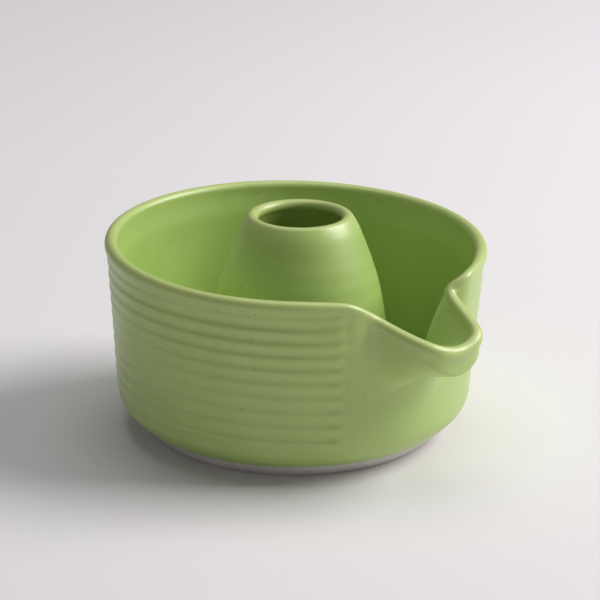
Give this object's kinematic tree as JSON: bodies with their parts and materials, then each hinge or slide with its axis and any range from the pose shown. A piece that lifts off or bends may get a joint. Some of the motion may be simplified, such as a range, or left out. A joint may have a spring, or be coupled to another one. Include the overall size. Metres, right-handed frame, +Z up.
{
  "type": "ceramic bacon cooker bowl",
  "caption": "Wheel-thrown glazed stoneware bowl with a hollow open-topped cone in the middle and a pulled pouring spout, for cooking meat round the cone and pouring off the fat.",
  "frame": {"origin": "centre of the bare foot's flat underside, on the table", "axes": "+Z up along the bowl's axis of throwing, +X towards the pouring spout; the cone's own axis stands 2.6 mm off the bowl's"},
  "size_m": [0.2132, 0.19, 0.1089],
  "materials": {
    "bare_clay": "matte",
    "green_glaze": "satin",
    "cone_clay": "matte",
    "coil_clay": "matte",
    "cone_green_glaze": "satin"
  },
  "bodies": {
    "root": {"bowl_body": "bare_clay", "bowl_glaze": "green_glaze", "center_cone": "cone_clay", "joint_coil": "coil_clay", "cone_glaze": "cone_green_glaze"}
  },
  "joints": []
}
